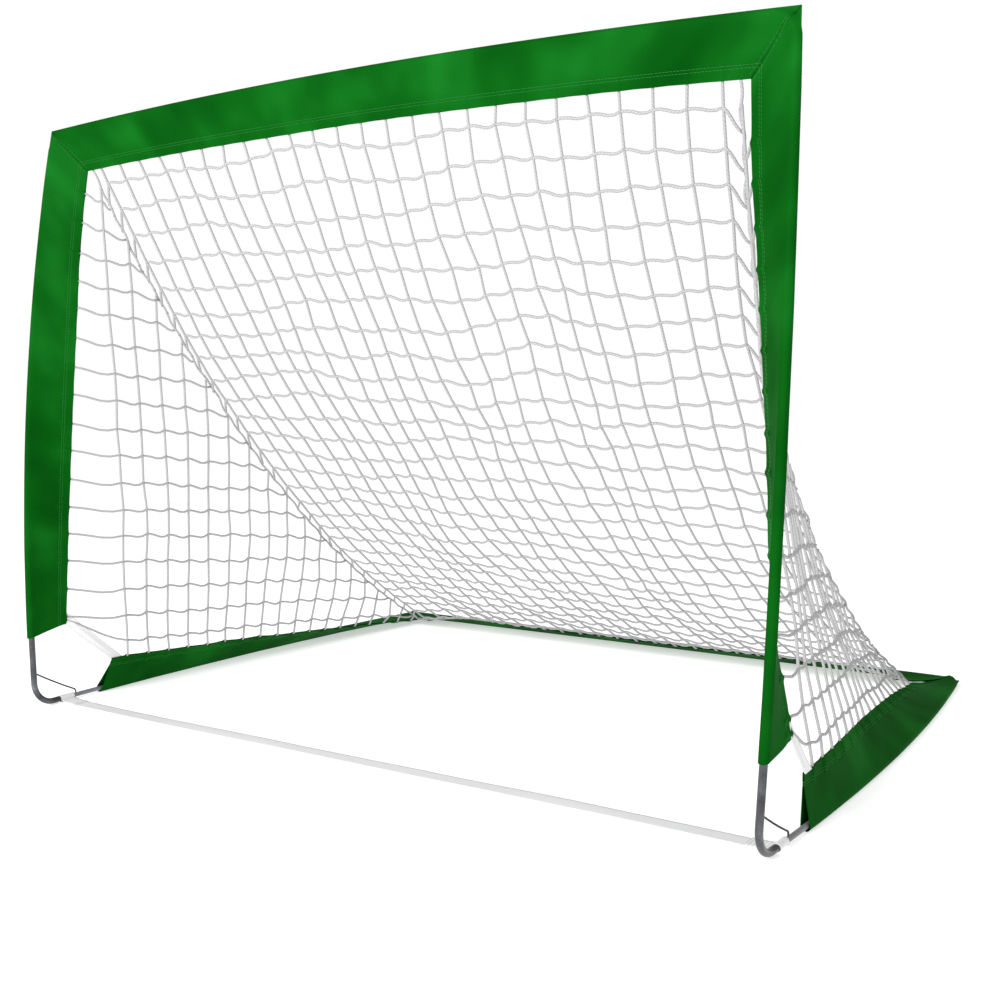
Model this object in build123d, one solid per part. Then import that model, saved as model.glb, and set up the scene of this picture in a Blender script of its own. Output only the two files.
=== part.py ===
"""Pop-up goal for small-sided games: a front hoop and a ground frame of sleeved rods, joined by three net panels.

Units are millimetres. +X is to the right as the shooter sees the goal, +Y is towards the back of the goal and +Z is up.
The origin is on the ground, at the centre of the goal's outline. Lengths below are measured from the goal line's
virtual corner, where the ground rod and the upright of one side would meet, and main() moves the parts to the origin.
"""

import math
import os

from build123d import *

# Overall size
WIDTH = 1219.0  # across the outside of the two uprights at the top
HEIGHT = 918.0  # ground to the outside of the crossbar at its ends
DEPTH = 1005.0  # goal line corner to rear corner, between rod centres
LEAN = 62.0  # the crossbar stands this far behind the goal line corners
REAR_NARROWING = 10.5  # each rear corner stands this far inside the front corner
UPRIGHT_BOW = (12.4, -19.3)  # how far an upright's middle bows outwards and backwards
CROSSBAR_BOW = 16.0  # how far the crossbar's middle bows upwards
GROUND_ROD_BOW = 22.0  # how far a ground side rod bows outwards
REAR_ROD_BOW = 5.0  # how far the rear rods bow backwards

# Rods, tubes and elastic cord
TUBE_R, TUBE_BORE_R = 4.75, 4.1
ROD_R, ROD_BORE_R = 3.6, 1.8
ROD_Z = 6.2  # height of the ground rods' centre line
SOCKET = 40.0  # how far a rod reaches into an elbow
FRONT_BEND_R, INNER_BEND_R = 36.0, 28.0
GROUND_LEG, UPRIGHT_LEG, INNER_LEG = 48.0, 150.0, 60.0  # elbow legs, from the virtual corner
FERRULE = 60.0
POCKET = 36.0  # side of the square that the sleeves leave open inside each sleeved bend
JOINT_GAP = 1.0  # between a front elbow's mouth and the ground rod behind it
CORD_R, INNER_CORD_R = 1.25, 1.2
CORD_HOLE_Z = 59.0

# Sleeves: a casing round the rod and a double flap that ends in the net's hem
CASING_R, CASING_BORE_R = 6.0, 5.4
FLAP = 64.0  # rod centre to hem
CLOTH = 1.6  # two layers with their hem
UPRIGHT_SLEEVE_Z, UPRIGHT_HEM_RISE = 112.0, 10.0  # the sleeve's lower end, and how much higher its hem starts
GROUND_SLEEVE_Y = 134.0
MITRE_GAP = 0.6
CROSSBAR_FLAP_SWING = 15.0  # degrees behind straight down
UPRIGHT_TWIST = ((0.0, 98.0), (1.0, 10.0))  # (share of the rod, degrees from inwards to backwards)
GROUND_TWIST = {
    "left": ((0.13, 30.0), (0.9, 84.0)),  # (share of the rod, degrees from up to inwards)
    "right": ((0.13, 3.0), (0.3, 16.0), (0.9, 84.0)),
}
REAR_FLAP_RISE = 15.0  # degrees above the ground, pointing to the front

# Nets and webbing
NET = 0.8  # thickness of the panel that stands for the net
NET_GAP = 1.2
SEAM_SAG, BACK_SAG = 105.0, 128.0  # how far the seams and the back panel's middle hang below a straight line
SEAM_PULL = 35.0  # how far the seams are drawn inwards
WEBBING = 1.2
STRAP_WIDTH, BAND_WIDTH = 27.0, 25.0
LOOP_R, LOOP_BORE_R = 5.2, 4.0

SIDES = {"left": -1, "right": 1}
CORNER_X = WIDTH / 2 - CASING_R
CROSSBAR_Z = HEIGHT - CASING_R
MIDDLE_Y = (DEPTH + REAR_ROD_BOW) / 2


class Bow:
    """A rod's centre line: a circular arc from start to end, whose middle stands off the chord by bow."""

    def __init__(self, start, end, bow):
        self.start, self.end = Vector(*start), Vector(*end)
        chord = self.end - self.start
        self.along = chord.normalized()
        bow = Vector(*bow)
        bow = bow - self.along * bow.dot(self.along)
        self.out, sagitta = bow.normalized(), bow.length
        self.radius = (chord.length**2 / 4 + sagitta**2) / (2 * sagitta)
        self.half = math.asin(chord.length / 2 / self.radius)
        self.centre = (self.start + self.end) * 0.5 - self.out * (self.radius - sagitta)
        self.length = 2 * self.half * self.radius

    def at(self, t):
        """The point at this share of the rod, which may lie past its ends."""
        angle = self.half * (2 * t - 1)
        return self.centre + (self.along * math.sin(angle) + self.out * math.cos(angle)) * self.radius

    def tangent(self, t):
        angle = self.half * (2 * t - 1)
        return self.along * math.cos(angle) - self.out * math.sin(angle)

    def share(self, length):
        """The share of the rod that this length from its start makes."""
        return length / self.length

    def edge(self, low, high):
        return ThreePointArc(self.at(low), self.at((low + high) / 2), self.at(high))


def ground_corner(sign):
    return (sign * CORNER_X, 0, ROD_Z)


def top_corner(sign):
    return (sign * CORNER_X, LEAN, CROSSBAR_Z)


def rear_corner(sign):
    return (sign * (CORNER_X - REAR_NARROWING), DEPTH, ROD_Z)


def upright_line(sign):
    out, back = UPRIGHT_BOW
    return Bow(ground_corner(sign), top_corner(sign), (sign * out, back, 0))


def ground_line(sign):
    return Bow(ground_corner(sign), rear_corner(sign), (sign * GROUND_ROD_BOW, 0, 0))


CROSSBAR = Bow(top_corner(-1), top_corner(1), (0, 0, CROSSBAR_BOW))
REAR = Bow(rear_corner(-1), rear_corner(1), (0, REAR_ROD_BOW, 0))


def blend_knots(knots, t):
    """The value at t of straight lines between (place, value) knots, which run on past the outer ones."""
    last = len(knots) - 2
    for i in range(last + 1):
        (low, a), (high, b) = knots[i], knots[i + 1]
        if t <= high or i == last:
            return a + (b - a) * (t - low) / (high - low)


def upright_flap(sign):
    def direction(t):
        angle = math.radians(blend_knots(UPRIGHT_TWIST, t))
        return Vector(-sign * math.cos(angle), math.sin(angle), 0)

    return direction


def ground_flap(side):
    def direction(t):
        angle = math.radians(min(90.0, blend_knots(GROUND_TWIST[side], t)))
        return Vector(-SIDES[side] * math.sin(angle), 0, math.cos(angle))

    return direction


def crossbar_flap(t):
    angle = math.radians(CROSSBAR_FLAP_SWING)
    return Vector(0, math.sin(angle), -math.cos(angle))


def rear_flap(t):
    angle = math.radians(REAR_FLAP_RISE)
    return Vector(0, -math.cos(angle), math.sin(angle))


def across(direction, tangent):
    """The direction with its part along the tangent taken out."""
    return (direction - tangent * direction.dot(tangent)).normalized()


def hem(line, flap, t, reach=FLAP):
    """The point on the hem beside this share of the rod."""
    return line.at(t) + across(flap(t), line.tangent(t)) * reach


def tube(path, radius, bore=0.0):
    """A round bar or tube along an edge or wire."""
    start = Plane(origin=path @ 0, z_dir=path % 0)
    bar = sweep(start * Circle(radius), path=path)
    return bar - sweep(start * Circle(bore), path=path) if bore else bar


def rod(line, low, high):
    return tube(line.edge(low, high), ROD_R, ROD_BORE_R)


def half_rods(line, start, end):
    """The two rods that meet in the middle of a line, start and end being lengths from its two ends."""
    low, high, gap = line.share(start), 1 - line.share(end), line.share(JOINT_GAP / 2)
    return rod(line, low, 0.5 - gap), rod(line, 0.5 + gap, high)


def ferrule(line):
    reach = line.share(FERRULE / 2)
    return tube(line.edge(0.5 - reach, 0.5 + reach), TUBE_R, TUBE_BORE_R)


def bend_path(first, corner, last, radius):
    """Two straight legs joined by an arc."""
    a, b = (first - corner).normalized(), (last - corner).normalized()
    opening = math.radians(a.get_angle(b))
    reach = radius / math.tan(opening / 2)
    inside = (a + b).normalized()
    middle = corner + inside * (radius / math.sin(opening / 2) - radius)
    start, end = corner + a * reach, corner + b * reach
    return Wire([Line(first, start), ThreePointArc(start, middle, end), Line(end, last)])


def cord_route(sign):
    """The elbow cord's knot inside the upright leg, its turn above the ground rod and its end on the rod."""
    ground, upright = ground_line(sign), upright_line(sign)
    landing = ground.at(ground.share(GROUND_LEG + STRAP_WIDTH + 8))
    knot = upright.at(upright.share(CORD_HOLE_Z - ROD_Z))
    return knot, landing + Vector(0, -2, 10), landing + Vector(0, 0, ROD_R + 0.6)


def front_elbow(sign):
    """Bent steel tube in a lower front corner, with a hole in the inside of its upright leg for the cord."""
    corner = Vector(*ground_corner(sign))
    ground, upright = ground_line(sign), upright_line(sign)
    mouth = ground.at(ground.share(GROUND_LEG))
    top = upright.at(upright.share(UPRIGHT_LEG))
    elbow = tube(bend_path(mouth, corner, top, FRONT_BEND_R), TUBE_R, TUBE_BORE_R)
    knot, turn, _ = cord_route(sign)
    along_cord = Plane(origin=knot, z_dir=turn - knot)
    hole = along_cord * Cylinder(CORD_R + 0.3, 4 * TUBE_R, align=(Align.CENTER, Align.CENTER, Align.MIN))
    return elbow - hole


def corner_path(line, cross_line, sign):
    """Centre line of the elbow between the far end of a side's line and that side's end of a line across the goal."""
    across_end = INNER_LEG if sign < 0 else cross_line.length - INNER_LEG
    side_end = line.at(1 - line.share(INNER_LEG))
    return bend_path(side_end, line.at(1), cross_line.at(cross_line.share(across_end)), INNER_BEND_R)


def corner_elbow(line, cross_line, sign):
    """Bent tube inside a sleeved corner."""
    return tube(corner_path(line, cross_line, sign), TUBE_R, TUBE_BORE_R)


def corner_pocket(line, cross_line, sign):
    """The space inside the bend of a sleeved corner, which the sleeves leave to the elbow."""
    corner = line.at(1)
    across_end = INNER_LEG if sign < 0 else cross_line.length - INNER_LEG
    first = (line.at(1 - line.share(INNER_LEG)) - corner).normalized()
    second = (cross_line.at(cross_line.share(across_end)) - corner).normalized()
    frame = Plane(origin=corner, x_dir=first, z_dir=first.cross(second))
    low = (Align.MIN, Align.MIN, Align.CENTER)
    return frame * Box(POCKET, POCKET, 2 * CASING_R + 2, align=low)


def sleeve_outline(rim=12):
    """Cross-section of a sleeve in (towards the hem, across) coordinates: a round casing that runs out into a flap."""
    half = CLOTH / 2
    meet = math.asin(half / CASING_R)
    ring = [meet + (2 * math.pi - 2 * meet) * i / rim for i in range(rim + 1)]
    casing = [(CASING_R * math.cos(a), CASING_R * math.sin(a)) for a in ring]
    return casing + [(FLAP, -half), (FLAP, half)]


def sleeve(line, flap, low, high, stations):
    """A sleeve along a line, as one closed solid with the rod's bore through it."""
    outline = sleeve_outline()
    sections = []
    for i in range(stations + 1):
        t = low + (high - low) * i / stations
        tangent = line.tangent(t)
        section = Plane(origin=line.at(t), x_dir=across(flap(t), tangent), z_dir=tangent)
        sections.append(section * make_face(Polyline(outline, close=True)))
    overrun = (high - low) * 0.02
    bore = tube(line.edge(low - overrun, high + overrun), CASING_BORE_R)
    return loft(sections, ruled=True) - bore


def mitre(corner, inner, normal, towards):
    """The plane of a mitre seam, from the outer corner to the opening's corner, facing towards a point."""
    direction = (inner - corner).normalized()
    facing = direction.cross(normal).normalized()
    if facing.dot(towards - corner) < 0:
        facing = facing * -1
    return Plane(origin=corner + facing * (MITRE_GAP / 2), z_dir=facing)


def trimmed(solid, plane):
    return split(solid, bisect_by=plane, keep=Keep.TOP)


def top_seam(sign, towards):
    corner, upright = Vector(*top_corner(sign)), upright_line(sign)
    flap = upright_flap(sign)
    side_hem = hem(upright, flap, 1 - upright.share(FLAP))
    t_bar = CROSSBAR.share(FLAP) if sign < 0 else 1 - CROSSBAR.share(FLAP)
    bar_hem = hem(CROSSBAR, crossbar_flap, t_bar)
    return mitre(corner, (side_hem + bar_hem) * 0.5, upright.tangent(1).cross(CROSSBAR.tangent(0)), towards)


def rear_seam(side, towards):
    sign = SIDES[side]
    corner, ground = Vector(*rear_corner(sign)), ground_line(sign)
    side_hem = hem(ground, ground_flap(side), 1 - ground.share(FLAP))
    t_rear = REAR.share(FLAP) if sign < 0 else 1 - REAR.share(FLAP)
    rear_hem = hem(REAR, rear_flap, t_rear)
    return mitre(corner, (side_hem + rear_hem) * 0.5, Vector(0, 0, 1), towards)


def upright_sleeve(sign):
    upright = upright_line(sign)
    low = upright.share(UPRIGHT_SLEEVE_Z - ROD_Z)
    cloth = sleeve(upright, upright_flap(sign), low, 1 + upright.share(2 * CASING_R), 14)
    lower_end = upright.at(low)
    slope = math.atan2(UPRIGHT_HEM_RISE, FLAP)
    lower = Plane(origin=lower_end, z_dir=(0, -math.sin(slope), math.cos(slope)))
    return trimmed(trimmed(cloth, top_seam(sign, upright.at(0.5))), lower) - corner_pocket(
        upright, CROSSBAR, sign
    )


def crossbar_sleeve():
    overrun = CROSSBAR.share(2 * CASING_R)
    cloth = sleeve(CROSSBAR, crossbar_flap, -overrun, 1 + overrun, 8)
    for sign in SIDES.values():
        cloth = trimmed(cloth, top_seam(sign, CROSSBAR.at(0.5))) - corner_pocket(
            upright_line(sign), CROSSBAR, sign
        )
    return cloth


def ground_sleeve(side):
    ground = ground_line(SIDES[side])
    low = ground.share(GROUND_SLEEVE_Y)
    cloth = sleeve(ground, ground_flap(side), low, 1 + ground.share(2 * CASING_R), 14)
    return trimmed(cloth, rear_seam(side, ground.at(0.5))) - corner_pocket(ground, REAR, SIDES[side])


def rear_sleeve():
    overrun = REAR.share(2 * CASING_R)
    cloth = sleeve(REAR, rear_flap, -overrun, 1 + overrun, 6)
    for side, sign in SIDES.items():
        cloth = trimmed(cloth, rear_seam(side, REAR.at(0.5))) - corner_pocket(
            ground_line(sign), REAR, sign
        )
    return cloth


def swag(t):
    """Share of the full sag at a share of the span: 0 at its ends and 1 in its middle."""
    return 4 * t * (1 - t)


def hanging_section(start, end, sag, steps):
    """A thin planar face along a line from start to end whose middle hangs off by the vector sag."""
    chord = end - start
    half = across(sag, chord.normalized()) * (NET / 2)
    shares = [i / steps for i in range(steps + 1)]
    line = [start + chord * t + sag * swag(t) for t in shares]
    outline = [p + half for p in line] + [p - half for p in reversed(line)]
    return make_face(Polyline(outline, close=True))


def back_line(u):
    """Top point, bottom point and sag of the back panel at a share of its width, 0 and 1 being the seams."""
    edge_top, edge_rear = CROSSBAR.share(FLAP + NET_GAP), REAR.share(FLAP + NET_GAP)
    reach = FLAP + NET_GAP
    top = hem(CROSSBAR, crossbar_flap, edge_top + (1 - 2 * edge_top) * u, reach)
    bottom = hem(REAR, rear_flap, edge_rear + (1 - 2 * edge_rear) * u, reach)
    chord = bottom - top
    square = Vector(0, chord.Z, -chord.Y).normalized()
    depth = SEAM_SAG + (BACK_SAG - SEAM_SAG) * swag(u)
    return top, bottom, square * depth + Vector(SEAM_PULL * (1 - 2 * u), 0, 0)


def seam_point(sign, t):
    """A point on the seam between the back panel and a side panel, at a share of its length from the top."""
    top, bottom, sag = back_line(0 if sign < 0 else 1)
    clear = Vector(0, sag.Y, sag.Z).normalized() * (2 * NET)
    return top + (bottom - top) * t + sag * swag(t) + clear


def back_net():
    """The panel from the crossbar's hem to the rear hem, between the two seams."""
    return loft([hanging_section(*back_line(i / 8), 12) for i in range(9)], ruled=True)


def side_net(side):
    """The panel between an upright's hem, a ground sleeve's hem and the seam of the back panel."""
    sign = SIDES[side]
    ground, upright = ground_line(sign), upright_line(sign)
    reach = FLAP + NET_GAP
    ground_front = hem(ground, ground_flap(side), ground.share(GROUND_SLEEVE_Y + BAND_WIDTH), reach)
    inwards = Vector(-sign, 0, 0)
    sections = [hanging_section(ground_front, seam_point(sign, 0.985), inwards * 2, 6)]
    foot, crown = upright.share(UPRIGHT_SLEEVE_Z + 2 * BAND_WIDTH), 1 - upright.share(FLAP + 12)
    for i in range(8):
        v = i / 7
        front = hem(upright, upright_flap(sign), foot + (crown - foot) * v, reach)
        back = seam_point(sign, 0.86 * (1 - v) + 0.02)
        sections.append(hanging_section(front, back, inwards * (2 + 8 * (1 - v)), 6))
    return loft(sections, ruled=True)


def corner_band(side):
    """Webbing strip from the foot of an upright's hem to the front of the ground sleeve's hem."""
    sign = SIDES[side]
    ground, upright = ground_line(sign), upright_line(sign)
    reach = FLAP + NET_GAP
    low = UPRIGHT_SLEEVE_Z + UPRIGHT_HEM_RISE - ROD_Z
    half = Vector(WEBBING / 2, 0, 0)

    def rung(line, flap, start):
        first = hem(line, flap, line.share(start), reach)
        last = hem(line, flap, line.share(start + BAND_WIDTH), reach)
        return make_face(Polyline([first + half, last + half, last - half, first - half], close=True))

    upper, lower = rung(upright, upright_flap(sign), low), rung(ground, ground_flap(side), GROUND_SLEEVE_Y)
    return loft([upper, lower], ruled=True)


def ground_strap():
    """Flat webbing across the goal line, with a sewn loop round each ground rod."""
    first = GROUND_LEG + JOINT_GAP + 0.5
    span = 2 * (CORNER_X + LOOP_R)
    strap = Pos(0, first + STRAP_WIDTH / 2, WEBBING / 2) * Box(span, STRAP_WIDTH, WEBBING)
    for sign in SIDES.values():
        ground = ground_line(sign)
        path = ground.edge(ground.share(first), ground.share(first + STRAP_WIDTH))
        start = Plane(origin=path @ 0, z_dir=path % 0)
        strap += tube(path, LOOP_R)
        strap -= sweep(start * Circle(LOOP_BORE_R), path=path)
    return strap


def elbow_cord(sign):
    """Elastic cord from the hole in an elbow's upright leg to the ground rod, with the knot that holds it."""
    knot, turn, end = cord_route(sign)
    path = FilletPolyline(knot, turn, end, radius=3)
    return tube(path, CORD_R) + Pos(*knot) * Sphere(2 * CORD_R)


def inner_cord(lines, ends, square):
    """Elastic cord through the rods of a frame, eight-sided: along each line, and round the bends between them."""
    runs = [line.edge(low, high) for line, (low, high) in zip(lines, ends)]
    points = []
    for run, after, line in zip(runs, [*runs[1:], None], lines):
        points += [run @ (i / 8) for i in range(9)]
        if after:
            first, bend, last = bend_path(run @ 1, line.at(1), after @ 0, INNER_BEND_R).edges()
            points += [first @ 0.5, *[bend @ (i / 6) for i in range(7)], last @ 0.5]
    sections = []
    for before, point, after in zip([points[0], *points], points, [*points[1:], points[-1]]):
        tangent = (after - before).normalized()
        station = Plane(origin=point, x_dir=across(square, tangent), z_dir=tangent)
        sections.append(station * RegularPolygon(INNER_CORD_R, 8))
    return loft(sections, ruled=True)


def reversed_line(line, bow):
    return Bow(line.end, line.start, bow)


def hoop_cord():
    out, back = UPRIGHT_BOW
    left = upright_line(-1)
    right = reversed_line(upright_line(1), (out, back, 0))
    end = left.share(UPRIGHT_LEG - SOCKET + 2)
    leg, bar = left.share(INNER_LEG), CROSSBAR.share(INNER_LEG)
    return inner_cord([left, CROSSBAR, right], [(end, 1 - leg), (bar, 1 - bar), (leg, 1 - end)], Vector(0, 1, 0))


def ground_cord():
    left = ground_line(-1)
    right = reversed_line(ground_line(1), (GROUND_ROD_BOW, 0, 0))
    end = left.share(GROUND_LEG + STRAP_WIDTH + 15)
    leg, bar = left.share(INNER_LEG), REAR.share(INNER_LEG)
    return inner_cord([left, REAR, right], [(end, 1 - leg), (bar, 1 - bar), (leg, 1 - end)], Vector(0, 0, 1))


def side_parts(side):
    """Every part that the goal has once on each side."""
    sign = SIDES[side]
    ground, upright = ground_line(sign), upright_line(sign)
    in_elbow = INNER_LEG - SOCKET
    lower, upper = half_rods(upright, UPRIGHT_LEG - SOCKET, in_elbow)
    front, rear = half_rods(ground, GROUND_LEG + JOINT_GAP, in_elbow)
    return {
        "front_elbow": front_elbow(sign),
        "lower_upright_rod": lower,
        "upright_ferrule": ferrule(upright),
        "upper_upright_rod": upper,
        "top_elbow": corner_elbow(upright, CROSSBAR, sign),
        "upright_sleeve": upright_sleeve(sign),
        "front_ground_rod": front,
        "ground_ferrule": ferrule(ground),
        "rear_ground_rod": rear,
        "rear_elbow": corner_elbow(ground, REAR, sign),
        "ground_sleeve": ground_sleeve(side),
        "side_net": side_net(side),
        "corner_band": corner_band(side),
        "elbow_cord": elbow_cord(sign),
    }


def middle_parts():
    in_elbow = INNER_LEG - SOCKET
    left_bar, right_bar = half_rods(CROSSBAR, in_elbow, in_elbow)
    left_rear, right_rear = half_rods(REAR, in_elbow, in_elbow)
    return {
        "left_crossbar_rod": left_bar,
        "crossbar_ferrule": ferrule(CROSSBAR),
        "right_crossbar_rod": right_bar,
        "crossbar_sleeve": crossbar_sleeve(),
        "left_rear_rod": left_rear,
        "rear_ferrule": ferrule(REAR),
        "right_rear_rod": right_rear,
        "rear_sleeve": rear_sleeve(),
        "back_net": back_net(),
        "ground_strap": ground_strap(),
        "hoop_cord": hoop_cord(),
        "ground_cord": ground_cord(),
    }


def main():
    os.makedirs("parts", exist_ok=True)
    parts = middle_parts()
    for side in SIDES:
        parts.update({f"{side}_{name}": part for name, part in side_parts(side).items()})
    for name, part in parts.items():
        export_step(Pos(0, -MIDDLE_Y, 0) * part, f"parts/{name}.step")


main()
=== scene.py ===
"""Looks of a pop-up goal: a green sleeved hoop on a green sleeved ground frame, joined by white square-mesh nets.

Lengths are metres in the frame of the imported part: +X right, +Y to the back of the goal and +Z up. The lines of the
rods repeat the part's own sizes. The upright sleeves differ from their CAD solids: they end 4 mm higher, their flaps
turn back about 6 degrees more near the top, and the right one's turns back about 13 degrees more at its foot.
"""

import logging
import math
from dataclasses import dataclass, field
from enum import Enum
from typing import Callable, Sequence

import bmesh
import bpy
import numpy as np
from mathutils import Matrix, Vector, noise


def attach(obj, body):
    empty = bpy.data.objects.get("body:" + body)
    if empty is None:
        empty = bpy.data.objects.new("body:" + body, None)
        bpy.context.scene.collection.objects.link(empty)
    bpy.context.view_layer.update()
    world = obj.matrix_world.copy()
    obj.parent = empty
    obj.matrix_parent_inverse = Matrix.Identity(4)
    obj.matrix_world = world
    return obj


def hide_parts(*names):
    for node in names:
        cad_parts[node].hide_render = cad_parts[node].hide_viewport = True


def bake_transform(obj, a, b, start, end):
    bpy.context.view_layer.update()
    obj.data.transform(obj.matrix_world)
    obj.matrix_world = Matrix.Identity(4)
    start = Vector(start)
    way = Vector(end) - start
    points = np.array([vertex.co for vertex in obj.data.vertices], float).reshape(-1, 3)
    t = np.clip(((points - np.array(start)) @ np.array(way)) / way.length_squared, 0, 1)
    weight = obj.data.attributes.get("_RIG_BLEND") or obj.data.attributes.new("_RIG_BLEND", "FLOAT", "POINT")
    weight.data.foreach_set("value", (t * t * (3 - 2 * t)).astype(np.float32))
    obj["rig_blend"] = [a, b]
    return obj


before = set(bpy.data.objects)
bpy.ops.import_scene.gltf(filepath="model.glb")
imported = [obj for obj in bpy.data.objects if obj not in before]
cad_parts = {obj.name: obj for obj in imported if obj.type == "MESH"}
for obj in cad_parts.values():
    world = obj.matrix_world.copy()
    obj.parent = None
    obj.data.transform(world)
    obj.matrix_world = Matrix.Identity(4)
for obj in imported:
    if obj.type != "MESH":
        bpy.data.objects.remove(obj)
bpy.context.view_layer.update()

logging.basicConfig(level=logging.INFO, format="%(message)s")
log = logging.getLogger("pop_up_goal")

MM = 0.001
Flap = Callable[[float], Vector]
Path = list[Vector]

# The goal's layout, as in the part except for the upright sleeves' lower ends and twist
CASING_R = 6 * MM
FLAP = 64 * MM  # rod centre to hem
REACH = 65.2 * MM  # rod centre to where the net begins
ROD_Z = 6.2 * MM
CORNER_X = 603.5 * MM
CROSSBAR_Z = 912 * MM
LEAN = 62 * MM
DEPTH = 1005 * MM
REAR_NARROWING = 10.5 * MM
MIDDLE_Y = 505 * MM
UPRIGHT_SLEEVE_Z, UPRIGHT_HEM_RISE = 116 * MM, 13 * MM
GROUND_SLEEVE_Y = 134 * MM
GROUND_LEG, JOINT_GAP = 48 * MM, 1.5 * MM
STRAP_WIDTH, BAND_WIDTH = 27 * MM, 25 * MM
BEND_R = 28 * MM
SEAM_SAG, BACK_SAG, SEAM_PULL = 105 * MM, 128 * MM, 35 * MM
UPRIGHT_TWIST = {  # (share of the rod, degrees from inwards to backwards)
    -1: ((0.0, 98.0), (0.8, 27.6), (1.0, 22.0)),
    1: ((0.0, 123.0), (0.28, 70.5), (0.55, 54.0), (0.8, 29.0), (1.0, 22.0)),
}
GROUND_TWIST = {-1: ((0.13, 30.0), (0.9, 84.0)), 1: ((0.13, 3.0), (0.3, 16.0), (0.9, 84.0))}
SIDES = {-1: "left", 1: "right"}
HINGE_Y, HINGE_Z = -457 * MM, 10.95 * MM
CELL = 45.5 * MM  # the nets' square mesh


class Body(Enum):
    """The two bodies of the goal."""

    HOOP = "front_hoop"
    BASE = "base"


# ---------------------------------------------------------------- lines


@dataclass
class Bow:
    """A rod's centre line: an arc from start to end whose middle stands off the chord by bow."""

    start: Vector
    end: Vector
    bow: Vector

    def __post_init__(self) -> None:
        """Works out the arc."""
        chord = self.end - self.start
        self.along = chord.normalized()
        off = self.bow - self.along * self.bow.dot(self.along)
        self.out, sagitta = off.normalized(), off.length
        self.radius = (chord.length**2 / 4 + sagitta**2) / (2 * sagitta)
        self.half = math.asin(chord.length / 2 / self.radius)
        self.centre = (self.start + self.end) * 0.5 - self.out * (self.radius - sagitta)
        self.length = 2 * self.half * self.radius

    def at(self, t: float) -> Vector:
        """The point at this share of the rod, which may lie past its ends."""
        angle = self.half * (2 * t - 1)
        return self.centre + (self.along * math.sin(angle) + self.out * math.cos(angle)) * self.radius

    def tangent(self, t: float) -> Vector:
        """The direction of the rod at this share."""
        angle = self.half * (2 * t - 1)
        return self.along * math.cos(angle) - self.out * math.sin(angle)

    def share(self, length: float) -> float:
        """The share of the rod that this length makes."""
        return length / self.length


def place(x: float, y: float, z: float) -> Vector:
    """A point given from the middle of the goal line, in the part's frame."""
    return Vector((x, y - MIDDLE_Y, z))


def ground_corner(sign: int) -> Vector:
    """Where a ground rod's line and an upright's line meet."""
    return place(sign * CORNER_X, 0, ROD_Z)


def top_corner(sign: int) -> Vector:
    """Where an upright's line and the crossbar's line meet."""
    return place(sign * CORNER_X, LEAN, CROSSBAR_Z)


def rear_corner(sign: int) -> Vector:
    """Where a ground rod's line and the rear line meet."""
    return place(sign * (CORNER_X - REAR_NARROWING), DEPTH, ROD_Z)


def upright_line(sign: int) -> Bow:
    """The line of an upright."""
    return Bow(ground_corner(sign), top_corner(sign), Vector((sign * 12.4, -19.3, 0)) * MM)


def ground_line(sign: int) -> Bow:
    """The line of a ground rod."""
    return Bow(ground_corner(sign), rear_corner(sign), Vector((sign * 22, 0, 0)) * MM)


CROSSBAR = Bow(top_corner(-1), top_corner(1), Vector((0, 0, 16)) * MM)
REAR = Bow(rear_corner(-1), rear_corner(1), Vector((0, 5, 0)) * MM)


def between_knots(knots: Sequence[tuple[float, float]], t: float) -> float:
    """The value at t of straight lines between (place, value) knots, which run on past the outer ones."""
    last = len(knots) - 2
    for i in range(last + 1):
        (low, a), (high, b) = knots[i], knots[i + 1]
        if t <= high or i == last:
            return a + (b - a) * (t - low) / (high - low)
    return knots[-1][1]


def eased(knots: Sequence[tuple[float, float]], t: float) -> float:
    """The value at t between knots, with the corners rounded off."""
    return sum(between_knots(knots, t + step * 0.03) for step in range(-2, 3)) / 5


def upright_flap(sign: int) -> Flap:
    """The direction from an upright's rod to its hem, at each share of the rod."""

    def direction(t: float) -> Vector:
        angle = math.radians(eased(UPRIGHT_TWIST[sign], t))
        return Vector((-sign * math.cos(angle), math.sin(angle), 0))

    return direction


def ground_flap(sign: int) -> Flap:
    """The direction from a ground rod to its sleeve's hem, at each share of the rod."""

    def direction(t: float) -> Vector:
        angle = math.radians(min(90.0, eased(GROUND_TWIST[sign], t)))
        return Vector((-sign * math.sin(angle), 0, math.cos(angle)))

    return direction


def crossbar_flap(t: float) -> Vector:
    """The direction from the crossbar to its hem."""
    return Vector((0, math.sin(math.radians(15)), -math.cos(math.radians(15))))


def rear_flap(t: float) -> Vector:
    """The direction from the rear rods to their hem, flatter at the ends, where the seams hold it down."""
    rise = math.radians(3.9 + 11.1 * smooth(0.055, 0.17, min(t, 1 - t)))
    return Vector((0, -math.cos(rise), math.sin(rise)))


def across(direction: Vector, tangent: Vector) -> Vector:
    """The direction with its part along the tangent taken out."""
    return (direction - tangent * direction.dot(tangent)).normalized()


def hem(line: Bow, flap: Flap, t: float, reach: float = FLAP) -> Vector:
    """The point on the hem beside this share of the rod."""
    return line.at(t) + across(flap(t), line.tangent(t)) * reach


def swag(t: float) -> float:
    """Share of the full sag at a share of the span: 0 at its ends and 1 in its middle."""
    return 4 * t * (1 - t)


def smooth(low: float, high: float, value: float) -> float:
    """0 below low, 1 above high, and a smooth step between them."""
    t = min(1.0, max(0.0, (value - low) / (high - low)))
    return t * t * (3 - 2 * t)


def wander(seed: float, x: float, y: float = 0.0) -> float:
    """A smooth value from about -1 to 1 that is the same in every run."""
    return noise.noise(Vector((x, y, seed * 7.31)))


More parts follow.
